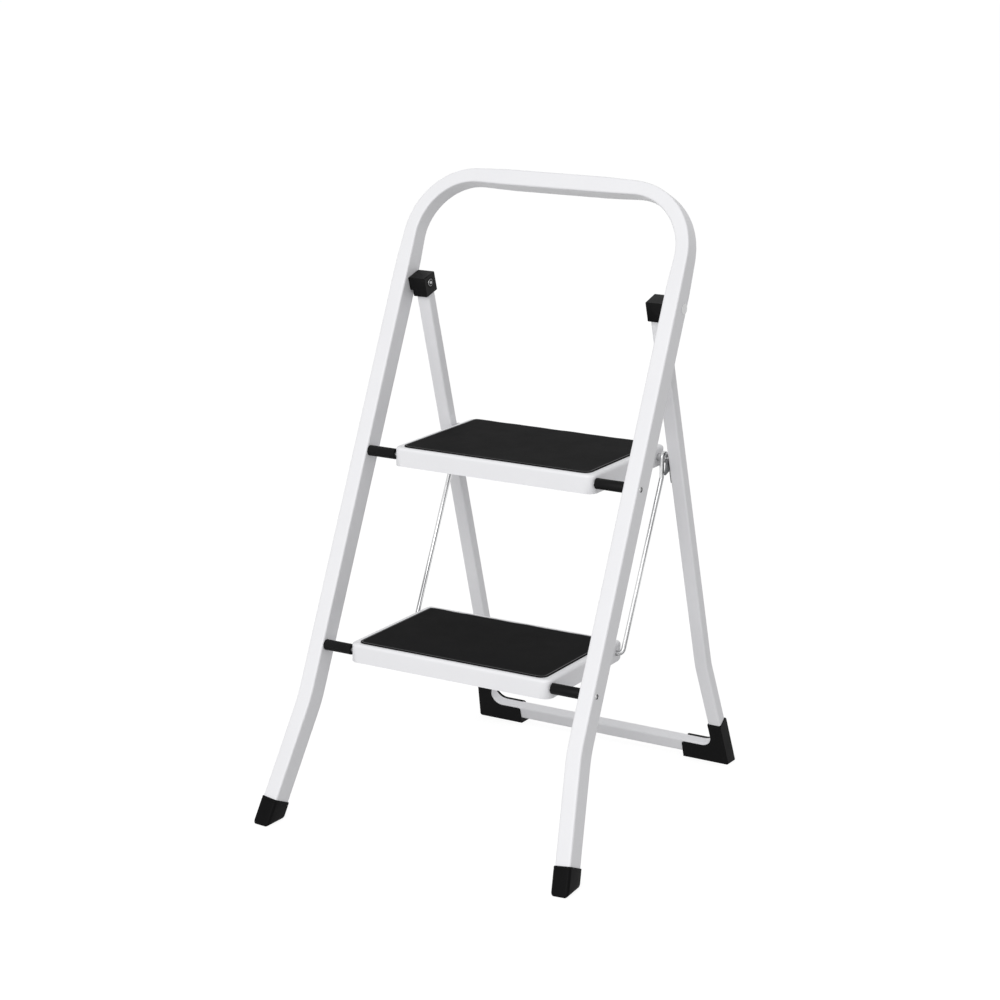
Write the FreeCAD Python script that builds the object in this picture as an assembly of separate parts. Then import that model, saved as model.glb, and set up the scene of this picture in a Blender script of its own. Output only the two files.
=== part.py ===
import FreeCAD, Part
import math
import os

# Folding step stool with two treads between a bent front frame and a bent rear frame.
# Millimetres. Z is up, the treads face -Y, left is -X for a person who faces the treads.
# The origin lies on the floor under the middle of the open stool.

V = FreeCAD.Vector
ORIGIN = V(0, 0, 0)
X_AXIS = V(1, 0, 0)
Y_AXIS = V(0, 1, 0)
Z_AXIS = V(0, 0, 1)
SIDES = {"left": -1, "right": 1}

# Stance of the two frames
front_lean = 24.4
frame_spread = 486.3
pivot_height = 643.5

# Front frame tube, one bend from foot to foot with the handle on top
front_tube_width = 20.5
front_tube_depth = 29.0
front_tube_corner = 2.6
front_frame_width = 407.5
handle_above_pivot = 153.7
handle_corner_radius = 82.0
front_splay_start = 161.5
front_splay_angle = 7.2
front_splay_radius = 220.0
tube_wall = 1.5

# Rear frame tube, a U whose bottom run is the crossbar
rear_tube_width = 18.5
rear_tube_depth = 15.5
rear_tube_corner = 2.6
leg_gap = 5.5
rear_splay_start = 152.0
rear_splay_angle = 5.8
rear_splay_radius = 70.0
crossbar_rise = 19.0
crossbar_corner_radius = 25.0

# Treads: the height of the upper one and the rise between the two
upper_tread_height = 455.0
tread_rise = 229.0

# Step pans, folded and drawn from sheet
pan_gap = 15.75
upper_pan_behind_link = 20.0
lower_pan_behind_link = 16.5
pan_height = 24.0
pan_sheet = 1.2
pan_front_overhang = 8.5
pan_front_corner = 12.0
pan_rear_corner = 8.0
pan_edge_radius = 4.0
pan_flange_corner = 14.0
pan_lip = 8.0

# Anti-slip mats, bonded on the pans
mat_thickness = 1.5
mat_bevel = 0.6
mat_front_border = 6.0
mat_side_border = 9.5
upper_mat_rear_border = 5.5
lower_mat_rear_border = 10.5
mat_front_corner = 10.0
mat_rear_corner = 5.0

# Rods that carry the front of each step, with their spacer sleeves
rod_radius = 3.5
rod_below_tread = 12.5
rod_set_back = 8.0
rod_head_radius = 3.9
rod_head_height = 0.8
rod_end_bore = 2.0
rod_end_bore_depth = 6.0
sleeve_radius = 6.8

# Link rods between the rear of the two steps
link_radius = 3.0
link_gap = 8.5
pin_ahead_of_leg = 4.0
link_drop = 1.5
link_bend_radius = 7.0
link_crank_length = 24.0
link_tail = 7.0
link_inner_end = 8.0
clip_radius = 5.0
clip_thickness = 1.2

# Pins that carry the rear of the upper step and the hooks of the link rods
pin_radius = 3.0
pin_head_radius = 5.5
pin_head_height = 2.0
pin_collar_radius = 5.0
pin_washer_radius = 6.5
pin_washer_thickness = 1.0

# Hook plates on the rear legs, in which the pins rest
plate_thickness = 2.5
plate_lip_width = 2.2
plate_lip_drop = 0.5
plate_brow = 7.0
plate_brow_drop = 12.0
plate_tip = 11.5
plate_tip_drop = 20.5
plate_throat_drop = 15.0
plate_drop = 34.0
plate_ahead_of_leg_middle = 4.0
plate_behind_leg_middle = 7.0
plate_rear = 9.5
plate_rear_rise = 1.0
plate_rear_bottom = 10.0
plate_corner = 1.2
plate_slot_angle = 58.0
plate_rivet_radius = 2.0
plate_rivet_head_radius = 3.6
plate_rivet_head_height = 1.0
plate_rivet_drops = (12.5, 27.0)

# Pivot blocks on top of the rear legs, and the rivets that they turn on
pivot_set_back = 21.2
block_wall = 1.0
block_depth = 24.0
block_above_pivot = 10.2
block_below_pivot = 15.5
block_tab_below_pivot = 7.0
block_cap = 3.0
block_edge = 1.0
rivet_radius = 4.0
rivet_head_radius = 7.0
rivet_head_height = 2.0
rivet_set_radius = 5.0
rivet_recess_radius = 6.4
rivet_recess_depth = 0.8

# Front feet, caps over the tube's ends
front_foot_wall = 1.6
front_foot_grip = 30.0
front_foot_sole = 5.0
front_foot_corner = 3.0

# Rear feet, channels that clip on the frame's bottom corners from outside and below
rear_foot_wall = 1.6
rear_foot_outer_wall = 1.2
rear_foot_outer_slope = 5.0
rear_foot_arm = 62.0
rear_foot_heel_rise = 6.0
rear_foot_length = 69.0
rear_foot_lip_drop = 2.2
rear_foot_lip_corner = 3.0
rear_foot_corner = 3.0
rear_foot_shoulder = 3.0

# Fits and gaps
snug_fit = 0.05
running_fit = 0.1
open_pivot_gap = 0.3
side_gap = 0.4
seat_gap = 0.3
overrun = 20.0
pick_tolerance = 0.01


# Places worked out from the sizes above

def lean_cos():
    return math.cos(math.radians(front_lean))


def lean_tan():
    return math.tan(math.radians(front_lean))


def behind_floor_line(height, set_back):
    """How far a point lies behind the front frame's line on the floor."""
    off_centre = set_back - front_tube_depth / 2
    return height * lean_tan() + off_centre / lean_cos()


pivot_run = behind_floor_line(pivot_height, pivot_set_back)
rear_lean = math.degrees(math.atan((frame_spread - pivot_run) / pivot_height))
front_reach = (front_tube_depth / 2 + front_foot_wall) / lean_cos()
rear_reach = (rear_tube_depth / 2 + rear_foot_wall) / math.cos(math.radians(rear_lean))
front_floor_y = -(frame_spread + rear_reach - front_reach) / 2
rear_floor_y = front_floor_y + frame_spread
pivot_y = front_floor_y + pivot_run
pivot_along = pivot_height / math.cos(math.radians(rear_lean))

front_frame_length = pivot_height / lean_cos() + handle_above_pivot
front_leg_x = (front_frame_width - front_tube_width) / 2
front_inner_x = front_leg_x - front_tube_width / 2
front_outer_x = front_frame_width / 2
rear_leg_x = front_inner_x - leg_gap - rear_tube_width / 2
rear_inner_x = rear_leg_x - rear_tube_width / 2
pan_side_x = rear_inner_x - pan_gap
pan_width = 2 * pan_side_x
pan_inside_x = pan_side_x - pan_sheet
link_side = pan_side_x + link_gap
pin_end_x = rear_inner_x - side_gap


def rod_place(tread_height):
    """Centre of a step's rod in the plane of symmetry."""
    height = tread_height - rod_below_tread
    return V(0, front_floor_y + behind_floor_line(height, rod_set_back), height)


def rear_leg_y(height):
    """Y of the rear legs' middle at a height."""
    return rear_floor_y - height * math.tan(math.radians(rear_lean))


upper_rod = rod_place(upper_tread_height)
link_reach = rear_leg_y(upper_rod.z - link_drop) - pin_ahead_of_leg - upper_rod.y
upper_pan_depth = pan_front_overhang + link_reach + upper_pan_behind_link
lower_pan_depth = pan_front_overhang + link_reach + lower_pan_behind_link
step_sizes = {"upper": (upper_tread_height, upper_pan_depth),
              "lower": (upper_tread_height - tread_rise, lower_pan_depth)}
mat_rear_borders = {"upper": upper_mat_rear_border, "lower": lower_mat_rear_border}


def link_place(tread_height):
    """Centre of a step's link pivot in the plane of symmetry."""
    return rod_place(tread_height) + V(0, link_reach, -link_drop)


# Shared shapes

def corner_arc(before, corner, after, radius):
    """Start, middle and end of the arc that rounds a corner."""
    to_before = (before - corner).normalize()
    to_after = (after - corner).normalize()
    half_angle = to_before.getAngle(to_after) / 2
    reach = radius / math.tan(half_angle)
    inward = (to_before + to_after).normalize()
    middle = corner + inward * (radius / math.sin(half_angle) - radius)
    return corner + to_before * reach, middle, corner + to_after * reach


def rounded_path(corners, radii):
    """An open path of straight runs joined by tangent arcs."""
    edges = []
    start = corners[0]
    for before, corner, after, radius in zip(corners, corners[1:], corners[2:], radii):
        enter, middle, leave = corner_arc(before, corner, after, radius)
        edges.append(Part.LineSegment(start, enter).toShape())
        edges.append(Part.Arc(enter, middle, leave).toShape())
        start = leave
    edges.append(Part.LineSegment(start, corners[-1]).toShape())
    return Part.Wire(edges)


def rounded_outline(corners, radii):
    """A closed outline whose corners have the given radii, 0 where a corner stays sharp."""
    arcs = []
    for place, corner in enumerate(corners):
        after = corners[(place + 1) % len(corners)]
        radius = radii[place]
        if radius > 0:
            arcs.append(corner_arc(corners[place - 1], corner, after, radius))
        else:
            arcs.append((corner, None, corner))
    edges = []
    for place, (enter, middle, leave) in enumerate(arcs):
        if middle is not None:
            edges.append(Part.Arc(enter, middle, leave).toShape())
        next_enter = arcs[(place + 1) % len(arcs)][0]
        if leave.distanceToPoint(next_enter) > pick_tolerance:
            edges.append(Part.LineSegment(leave, next_enter).toShape())
    return Part.Wire(edges)


def prism(corners, radii, travel):
    """A solid with the given outline, pushed along a vector."""
    return Part.Face(rounded_outline(corners, radii)).extrude(travel)


def rectangle(centre, side_a, side_b):
    """The four corners of a rectangle from its centre and its two half sides."""
    return [centre - side_a - side_b, centre + side_a - side_b,
            centre + side_a + side_b, centre - side_a + side_b]


def cylinder_x(radius, x_start, x_end, centre):
    """A round bar along X between two places."""
    low = min(x_start, x_end)
    return Part.makeCylinder(radius, abs(x_end - x_start), V(low, centre.y, centre.z), X_AXIS)


def dome_x(radius, height, x_base, outward, centre):
    """A domed rivet head whose flat side faces the other way from outward."""
    ball_radius = (radius ** 2 + height ** 2) / (2 * height)
    ball_centre = V(x_base + outward * (height - ball_radius), centre.y, centre.z)
    half_angle = math.asin(radius / ball_radius) / 2
    base = V(x_base, centre.y, centre.z)
    rim = base + Z_AXIS * radius
    middle = ball_centre + V(outward * math.cos(half_angle), 0, math.sin(half_angle)) * ball_radius
    top = base + X_AXIS * (outward * height)
    profile = Part.Wire([Part.LineSegment(base, rim).toShape(), Part.Arc(rim, middle, top).toShape(),
                         Part.LineSegment(top, base).toShape()])
    return Part.makeSolid(Part.Face(profile).revolve(base, X_AXIS, 360))


def tube_section(centre, direction, width, depth, corner):
    """Rounded rectangle across a tube's path, with its depth along Y."""
    across = direction.cross(Y_AXIS).normalize() * (width / 2)
    corners = rectangle(centre, across, Y_AXIS * (depth / 2))
    return rounded_outline(corners, [corner] * len(corners))


def bent_bar(corners, radii, width, depth, corner):
    """A bar of rectangular section swept along a path in the XZ plane."""
    sweep = Part.BRepOffsetAPI.MakePipeShell(rounded_path(corners, radii))
    sweep.setBiNormalMode(Y_AXIS)
    sweep.add(tube_section(corners[0], corners[1] - corners[0], width, depth, corner))
    sweep.build()
    sweep.makeSolid()
    return sweep.shape()


def bent_tube(corners, radii, width, depth, corner):
    """A bent bar with its hollow."""
    bar = bent_bar(corners, radii, width, depth, corner)
    hollow = bent_bar(corners, radii, width - 2 * tube_wall, depth - 2 * tube_wall, corner - tube_wall)
    return bar.cut(hollow)


def stand(shape, lean, floor_y):
    """Leans a shape made in the upright XZ plane and sets it on its line on the floor."""
    moved = shape.copy()
    moved.rotate(ORIGIN, X_AXIS, lean)
    moved.translate(V(0, floor_y, 0))
    return moved


def stand_front(shape):
    return stand(shape, -front_lean, front_floor_y)


def stand_rear(shape):
    return stand(shape, rear_lean, rear_floor_y)


def above_floor(shape):
    """Cuts away what lies below the floor."""
    box = shape.BoundBox
    below = Part.makeBox(box.XLength + 2 * overrun, box.YLength + 2 * overrun, overrun - box.ZMin,
                         V(box.XMin - overrun, box.YMin - overrun, box.ZMin - overrun))
    return shape.cut(below)


# Front frame

def front_leg_end(side):
    """Centre of the tube's cut end, inside the foot."""
    lowest_corner = front_tube_depth / 2 * math.sin(math.radians(front_lean))
    along = (front_foot_sole + lowest_corner) / lean_cos()
    spread = (front_splay_start - along) * math.tan(math.radians(front_splay_angle))
    return V(side * (front_leg_x + spread), 0, along)


def front_leg_knee(side):
    return V(side * front_leg_x, 0, front_splay_start)


def front_path():
    """Corners and bend radii of the front frame, from the left foot to the right one."""
    handle = front_frame_length - front_tube_width / 2
    corners = [front_leg_end(-1), front_leg_knee(-1), V(-front_leg_x, 0, handle),
               V(front_leg_x, 0, handle), front_leg_knee(1), front_leg_end(1)]
    radii = [front_splay_radius, handle_corner_radius, handle_corner_radius, front_splay_radius]
    return corners, radii


def front_frame():
    """One tube bent into both front legs and the handle, with the rod and pivot holes."""
    corners, radii = front_path()
    tube = stand_front(bent_tube(corners, radii, front_tube_width, front_tube_depth, front_tube_corner))
    for tread_height, depth in step_sizes.values():
        hole = cylinder_x(rod_radius + snug_fit, -front_outer_x - overrun, front_outer_x + overrun,
                          rod_place(tread_height))
        tube = tube.cut(hole)
    pivot = V(0, pivot_y, pivot_height)
    hole = cylinder_x(rivet_radius + snug_fit, -front_outer_x - overrun, front_outer_x + overrun, pivot)
    return tube.cut(hole)


def front_foot(side):
    """A cap over the leg's end, flat on the floor, with its lower corners rounded."""
    end = front_leg_end(side)
    direction = (front_leg_knee(side) - end).normalize()
    reach_down = end.z + front_tube_depth
    section = tube_section(end - direction * reach_down, direction,
                           front_tube_width + 2 * front_foot_wall,
                           front_tube_depth + 2 * front_foot_wall,
                           front_tube_corner + front_foot_wall)
    length = reach_down + (front_foot_grip - end.z) / direction.z
    foot = above_floor(stand_front(Part.Face(section).extrude(direction * length)))
    bottom_sides = []
    for edge in foot.Edges:
        box = edge.BoundBox
        if box.ZMax < pick_tolerance and box.YLength > front_tube_depth / 2:
            bottom_sides.append(edge)
    foot = foot.makeFillet(front_foot_corner, bottom_sides)
    corners, radii = front_path()
    return foot.cut(stand_front(bent_bar(corners, radii, front_tube_width, front_tube_depth,
                                         front_tube_corner)))


def step_rod(tread_height):
    """A rod from leg to leg with headed, hollow ends."""
    centre = rod_place(tread_height)
    rod = cylinder_x(rod_radius, -front_outer_x, front_outer_x, centre)
    for side in SIDES.values():
        outer = side * (front_outer_x + rod_head_height)
        head = cylinder_x(rod_head_radius, side * front_outer_x, outer, centre)
        bore = cylinder_x(rod_end_bore, side * (front_outer_x + rod_head_height - rod_end_bore_depth),
                          side * (front_outer_x + overrun), centre)
        rod = rod.fuse(head).cut(bore)
    return rod.removeSplitter()


def step_sleeve(tread_height, side):
    """A spacer sleeve on the rod, between the leg and the pan's side."""
    centre = rod_place(tread_height)
    start = side * (pan_side_x + side_gap)
    end = side * front_inner_x
    sleeve = cylinder_x(sleeve_radius, start, end, centre)
    return sleeve.cut(cylinder_x(rod_radius + snug_fit, start, end, centre))


def pivot_rivet(side):
    """The rivet that a rear leg's block turns on, set in the front leg."""
    centre = V(0, pivot_y, pivot_height)
    recess_floor = rear_inner_x - block_wall + rivet_recess_depth
    shank_end = side * (recess_floor - side_gap / 2)
    shank = cylinder_x(rivet_radius, shank_end, side * front_outer_x, centre)
    outer_head = dome_x(rivet_head_radius, rivet_head_height, side * front_outer_x, side, centre)
    set_head = dome_x(rivet_set_radius, rivet_head_height, shank_end, -side, centre)
    return shank.fuse([outer_head, set_head]).removeSplitter()


# Rear frame

def rear_path():
    """Corners and bend radii of the rear frame, from the left top end to the right one."""
    top = pivot_along + block_above_pivot - block_cap
    corner_x = rear_leg_x + (rear_splay_start - crossbar_rise) * math.tan(math.radians(rear_splay_angle))
    corners = [V(-rear_leg_x, 0, top), V(-rear_leg_x, 0, rear_splay_start),
               V(-corner_x, 0, crossbar_rise), V(corner_x, 0, crossbar_rise),
               V(rear_leg_x, 0, rear_splay_start), V(rear_leg_x, 0, top)]
    radii = [rear_splay_radius, crossbar_corner_radius, crossbar_corner_radius, rear_splay_radius]
    return corners, radii


def rear_bar():
    corners, radii = rear_path()
    return stand_rear(bent_bar(corners, radii, rear_tube_width, rear_tube_depth, rear_tube_corner))


def leg_middle(drop):
    """Place of the rear leg's middle at a drop below the upper step's pin."""
    height = link_place(upper_tread_height).z - drop
    return V(0, rear_leg_y(height), height)


def plate_rivet_centres():
    """Places of the hook plate's rivets, below the pin and on the leg's wide face."""
    behind = (plate_behind_leg_middle - plate_ahead_of_leg_middle) / 2
    return [leg_middle(drop) + V(0, behind, 0) for drop in plate_rivet_drops]


def rear_frame():
    """One tube bent into both rear legs and the crossbar, with the pivot and rivet holes."""
    corners, radii = rear_path()
    tube = stand_rear(bent_tube(corners, radii, rear_tube_width, rear_tube_depth, rear_tube_corner))
    reach = front_outer_x + overrun
    tube = tube.cut(cylinder_x(rivet_radius + running_fit, -reach, reach, V(0, pivot_y, pivot_height)))
    for side in SIDES.values():
        for centre in plate_rivet_centres():
            tube = tube.cut(cylinder_x(plate_rivet_radius + snug_fit, side * (rear_inner_x - tube_wall),
                                       side * rear_leg_x, centre))
    return tube


def pivot_block(side):
    """A moulded cap on a rear leg's end, with a tab that reaches the front leg."""
    inner = side * (rear_inner_x - block_wall)
    outer = side * (rear_leg_x + rear_tube_width / 2 + block_wall)
    tab = side * (front_inner_x - side_gap)
    top = pivot_along + block_above_pivot
    front = -block_depth / 2
    corners = [V(inner, front, pivot_along - block_below_pivot),
               V(outer, front, pivot_along - block_below_pivot),
               V(outer, front, pivot_along - block_tab_below_pivot),
               V(tab, front, pivot_along - block_tab_below_pivot),
               V(tab, front, top),
               V(inner, front, top)]
    block = prism(corners, [block_edge] * len(corners), Y_AXIS * block_depth)
    block = stand_rear(block).cut(rear_bar())
    pivot = V(0, pivot_y, pivot_height)
    block = block.cut(cylinder_x(rivet_radius + running_fit, side * rear_leg_x / 2,
                                 side * front_outer_x, pivot))
    recess = cylinder_x(rivet_recess_radius, inner - side * overrun, inner + side * rivet_recess_depth, pivot)
    return block.cut(recess)


def rear_foot(side):
    """An L-shaped channel on a bottom corner, flat on the floor, open toward the frame's inside."""
    splay = math.tan(math.radians(rear_splay_angle))
    half_tube = rear_tube_width / 2

    def leg_edge_x(along, off):
        """X of a line beside the splayed leg at a height along the frame."""
        return rear_leg_x + (rear_splay_start - along) * splay + off / math.cos(math.radians(rear_splay_angle))

    floor_level = -rear_tube_depth
    arm_top = rear_foot_arm + rear_foot_heel_rise
    inner_top = crossbar_rise + half_tube
    outer_top_x = leg_edge_x(arm_top, half_tube + rear_foot_outer_wall)
    outer_foot_x = outer_top_x + (arm_top - floor_level) * math.tan(math.radians(rear_foot_outer_slope))
    foot_end = outer_foot_x - rear_foot_length
    rear = rear_tube_depth / 2 + rear_foot_wall

    def channel(lip_top, start, end):
        """The L-shaped outline pushed through a part of the foot's depth."""
        outline = [(foot_end, floor_level), (outer_foot_x, floor_level), (outer_top_x, arm_top),
                   (leg_edge_x(arm_top, -half_tube), arm_top),
                   (leg_edge_x(lip_top, -half_tube), lip_top), (foot_end, lip_top)]
        corners = [V(side * x, start, along) for x, along in outline]
        radii = [0, 0, 0, 0, crossbar_corner_radius - half_tube, rear_foot_lip_corner]
        return prism(corners, radii, Y_AXIS * (end - start))

    foot = channel(inner_top - rear_foot_lip_drop, -rear, 0).fuse(channel(inner_top, 0, rear))
    side_view = [V(0, -rear, floor_level), V(0, rear, floor_level),
                 V(0, rear, arm_top), V(0, -rear, rear_foot_arm)]
    foot = foot.common(prism(side_view, [0, 0, rear_foot_shoulder, 0], X_AXIS * (side * outer_foot_x)))
    foot = above_floor(stand_rear(foot)).removeSplitter()
    heel_edges = []
    for edge in foot.Edges:
        box = edge.BoundBox
        if box.ZMax < pick_tolerance and box.YLength > rear_tube_depth and abs(box.Center.x) > rear_leg_x:
            heel_edges.append(edge)
    foot = foot.makeFillet(rear_foot_corner, heel_edges)
    return foot.cut(rear_bar()).removeSplitter()


def hook_plate(side):
    """A steel plate on a rear leg's inner face, with the open seat for the step's pin."""
    pin = link_place(upper_tread_height)
    seat = pin_radius + seat_gap

    def beside_leg(off, drop):
        """A corner of the plate's lower part, which follows the leg's lean."""
        return leg_middle(drop) + V(0, off, 0)

    outline = [pin + V(0, -seat - plate_lip_width, -plate_lip_drop),
               pin + V(0, -plate_brow, -plate_brow_drop),
               pin + V(0, -plate_tip, -plate_tip_drop),
               beside_leg(-plate_ahead_of_leg_middle, plate_throat_drop),
               beside_leg(-plate_ahead_of_leg_middle, plate_drop),
               beside_leg(plate_behind_leg_middle, plate_drop),
               pin + V(0, plate_rear, -plate_rear_bottom),
               pin + V(0, plate_rear, plate_rear_rise)]
    start = side * rear_inner_x
    corners = [corner + X_AXIS * start for corner in outline]
    reach = X_AXIS * (-side * plate_thickness)
    plate = prism(corners, [plate_corner] * len(corners), reach)
    angle = math.radians(plate_slot_angle)
    open_way = V(0, math.cos(angle), math.sin(angle)) * overrun
    across = V(0, -math.sin(angle), math.cos(angle)) * seat
    slot_base = pin + X_AXIS * start
    slot = [slot_base - across, slot_base + across, slot_base + across + open_way,
            slot_base - across + open_way]
    plate = plate.cut(prism(slot, [0] * len(slot), reach))
    plate = plate.cut(cylinder_x(seat, start, start + reach.x, pin))
    for centre in plate_rivet_centres():
        plate = plate.cut(cylinder_x(plate_rivet_radius + snug_fit, start, start + reach.x, centre))
    return plate


def plate_rivets():
    """The four blind rivets that hold the hook plates."""
    rivets = []
    for side in SIDES.values():
        plate_face = side * (rear_inner_x - plate_thickness)
        tail_start = side * (rear_inner_x + tube_wall)
        tail_end = tail_start + side * plate_rivet_head_height
        for centre in plate_rivet_centres():
            shank = cylinder_x(plate_rivet_radius, plate_face, tail_end, centre)
            head = cylinder_x(plate_rivet_head_radius, plate_face,
                              plate_face - side * plate_rivet_head_height, centre)
            tail = cylinder_x(plate_rivet_radius + plate_rivet_head_height, tail_start, tail_end, centre)
            rivets.append(shank.fuse([head, tail]).removeSplitter())
    return Part.makeCompound(rivets)


# Steps

def pan_block(front, rear, half_width, bottom, top, front_corner, rear_corner, edge_radius):
    """A block with rounded upright corners and a rounded top edge."""
    corners = [V(-half_width, front, bottom), V(half_width, front, bottom),
               V(half_width, rear, bottom), V(-half_width, rear, bottom)]
    block = prism(corners, [front_corner, front_corner, rear_corner, rear_corner],
                  Z_AXIS * (top - bottom))
    rim = [edge for edge in block.Edges if edge.BoundBox.ZMin > top - pick_tolerance]
    return block.makeFillet(edge_radius, rim)


def pan_levels(tread_height):
    """Front, bottom and top of a pan."""
    front = rod_place(tread_height).y - pan_front_overhang
    top = tread_height - mat_thickness
    return front, top - pan_height, top


def step_pan(tread_height, depth):
    """A sheet pan with deep flanges, rounded rear corners on its sides and stiffening lips."""
    front, bottom, top = pan_levels(tread_height)
    rear = front + depth
    outer = pan_block(front, rear, pan_side_x, bottom, top,
                      pan_front_corner, pan_rear_corner, pan_edge_radius)
    side_view = [V(-pan_side_x, front, bottom), V(-pan_side_x, rear, bottom),
                 V(-pan_side_x, rear, top), V(-pan_side_x, front, top)]
    outer = outer.common(prism(side_view, [0, pan_flange_corner, 0, 0], X_AXIS * pan_width))
    hollow = pan_block(front + pan_sheet, rear - pan_sheet, pan_inside_x, bottom - overrun,
                       top - pan_sheet, pan_front_corner - pan_sheet,
                       pan_rear_corner - pan_sheet, pan_edge_radius - pan_sheet)
    pan = outer.cut(hollow)
    lip_half = pan_side_x - pan_front_corner
    lip_places = ((front + pan_sheet, bottom), (rear - pan_sheet - pan_lip, bottom + pan_flange_corner))
    for lip_front, lip_bottom in lip_places:
        lip = Part.makeBox(2 * lip_half, pan_lip, pan_sheet, V(-lip_half, lip_front, lip_bottom))
        pan = pan.fuse(lip)
    rod_hole = cylinder_x(rod_radius + running_fit, -pan_width, pan_width, rod_place(tread_height))
    return pan.cut(rod_hole).removeSplitter()


def upper_step_pan():
    pan = step_pan(*step_sizes["upper"])
    pin_hole = cylinder_x(pin_radius + snug_fit, -pan_width, pan_width, link_place(upper_tread_height))
    return pan.cut(pin_hole)


def lower_step_pan():
    tread_height, depth = step_sizes["lower"]
    pan = step_pan(tread_height, depth)
    link_hole = cylinder_x(link_radius + open_pivot_gap, -pan_width, pan_width, link_place(tread_height))
    return pan.cut(link_hole)


def step_mat(tread_height, depth, rear_border):
    """A mat with bevelled edges on the pan's top."""
    front, bottom, top = pan_levels(tread_height)
    half_width = pan_side_x - mat_side_border
    mat_front = front + mat_front_border
    mat_rear = front + depth - rear_border
    corners = [V(-half_width, mat_front, top), V(half_width, mat_front, top),
               V(half_width, mat_rear, top), V(-half_width, mat_rear, top)]
    mat = prism(corners, [mat_front_corner, mat_front_corner, mat_rear_corner, mat_rear_corner],
                Z_AXIS * mat_thickness)
    rim = [edge for edge in mat.Edges if edge.BoundBox.ZMin > tread_height - pick_tolerance]
    return mat.makeChamfer(mat_bevel, rim)


def step_pin(side):
    """The stepped pin riveted through the upper pan's side near its rear."""
    centre = link_place(upper_tread_height)
    collar_end = side * (link_side - link_radius - side_gap)
    shank = cylinder_x(pin_radius, side * (pan_inside_x - pin_head_height), side * pin_end_x, centre)
    head = cylinder_x(pin_head_radius, side * (pan_inside_x - pin_head_height),
                      side * pan_inside_x, centre)
    collar = cylinder_x(pin_collar_radius, side * pan_side_x, collar_end, centre)
    return shank.fuse([head, collar]).removeSplitter()


def pin_washers():
    """The two spring washers that keep the link hooks on the pins."""
    centre = link_place(upper_tread_height)
    washers = []
    for side in SIDES.values():
        start = side * (link_side + link_radius + side_gap)
        end = start + side * pin_washer_thickness
        washer = cylinder_x(pin_washer_radius, start, end, centre)
        washers.append(washer.cut(cylinder_x(pin_radius + snug_fit, start, end, centre)))
    return Part.makeCompound(washers)


# Link rods

def link_rod(side):
    """A wire that hooks over the upper step's pin and turns into the lower step's side."""
    top = link_place(upper_tread_height)
    foot = link_place(upper_tread_height - tread_rise)
    hook_radius = pin_radius + running_fit + link_radius
    x = V(side * link_side, 0, 0)
    inner_end = V(side * (pan_inside_x - link_inner_end), foot.y, foot.z)
    crank = top + x - V(0, hook_radius, link_crank_length)
    hook_start = top + x - V(0, hook_radius, 0)
    hook_top = top + x + V(0, 0, hook_radius)
    hook_end = top + x + V(0, hook_radius, 0)
    lower = rounded_path([inner_end, foot + x, crank, hook_start],
                         [link_bend_radius, link_bend_radius])
    hook = [Part.Arc(hook_start, hook_top, hook_end).toShape(),
            Part.LineSegment(hook_end, hook_end - V(0, 0, link_tail)).toShape()]
    path = Part.Wire(lower.Edges + hook)
    section = Part.Wire(Part.Circle(inner_end, X_AXIS, link_radius).toShape())
    return path.makePipeShell([section], True, False)


def link_clip(side):
    """A push-on ring on the link's inner end, inside the lower pan."""
    centre = link_place(upper_tread_height - tread_rise)
    start = side * (pan_inside_x - side_gap)
    end = start - side * clip_thickness
    ring = cylinder_x(clip_radius, start, end, centre)
    return ring.cut(cylinder_x(link_radius + snug_fit, start, end, centre))


def all_nodes():
    """Every named piece of the stool."""
    nodes = {"front_frame": front_frame(), "rear_frame": rear_frame(),
             "upper_step_pan": upper_step_pan(), "lower_step_pan": lower_step_pan(),
             "hook_plate_rivets": plate_rivets(), "pin_washers": pin_washers()}
    for step, (tread_height, depth) in step_sizes.items():
        nodes[step + "_step_mat"] = step_mat(tread_height, depth, mat_rear_borders[step])
        nodes[step + "_step_rod"] = step_rod(tread_height)
        for name, side in SIDES.items():
            nodes[step + "_sleeve_" + name] = step_sleeve(tread_height, side)
    paired = {"front_foot": front_foot, "rear_foot": rear_foot, "pivot_block": pivot_block,
              "pivot_rivet": pivot_rivet, "hook_plate": hook_plate, "step_pin": step_pin,
              "link_rod": link_rod, "link_clip": link_clip}
    for piece, make in paired.items():
        for name, side in SIDES.items():
            nodes[piece + "_" + name] = make(side)
    return nodes


os.makedirs("parts", exist_ok=True)
for node_name, node_shape in all_nodes().items():
    node_shape.exportStep("parts/" + node_name + ".step")
    print(node_name, len(node_shape.Solids), node_shape.isValid(), round(node_shape.Volume))
print("front floor line", front_floor_y, "rear lean", rear_lean)
print("pivot", pivot_y, pivot_height)
for step_name, (step_height, step_depth) in step_sizes.items():
    print(step_name, "rod", rod_place(step_height), "link", link_place(step_height))
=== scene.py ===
import bmesh
import bpy
import math
from mathutils import Matrix, Vector


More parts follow.
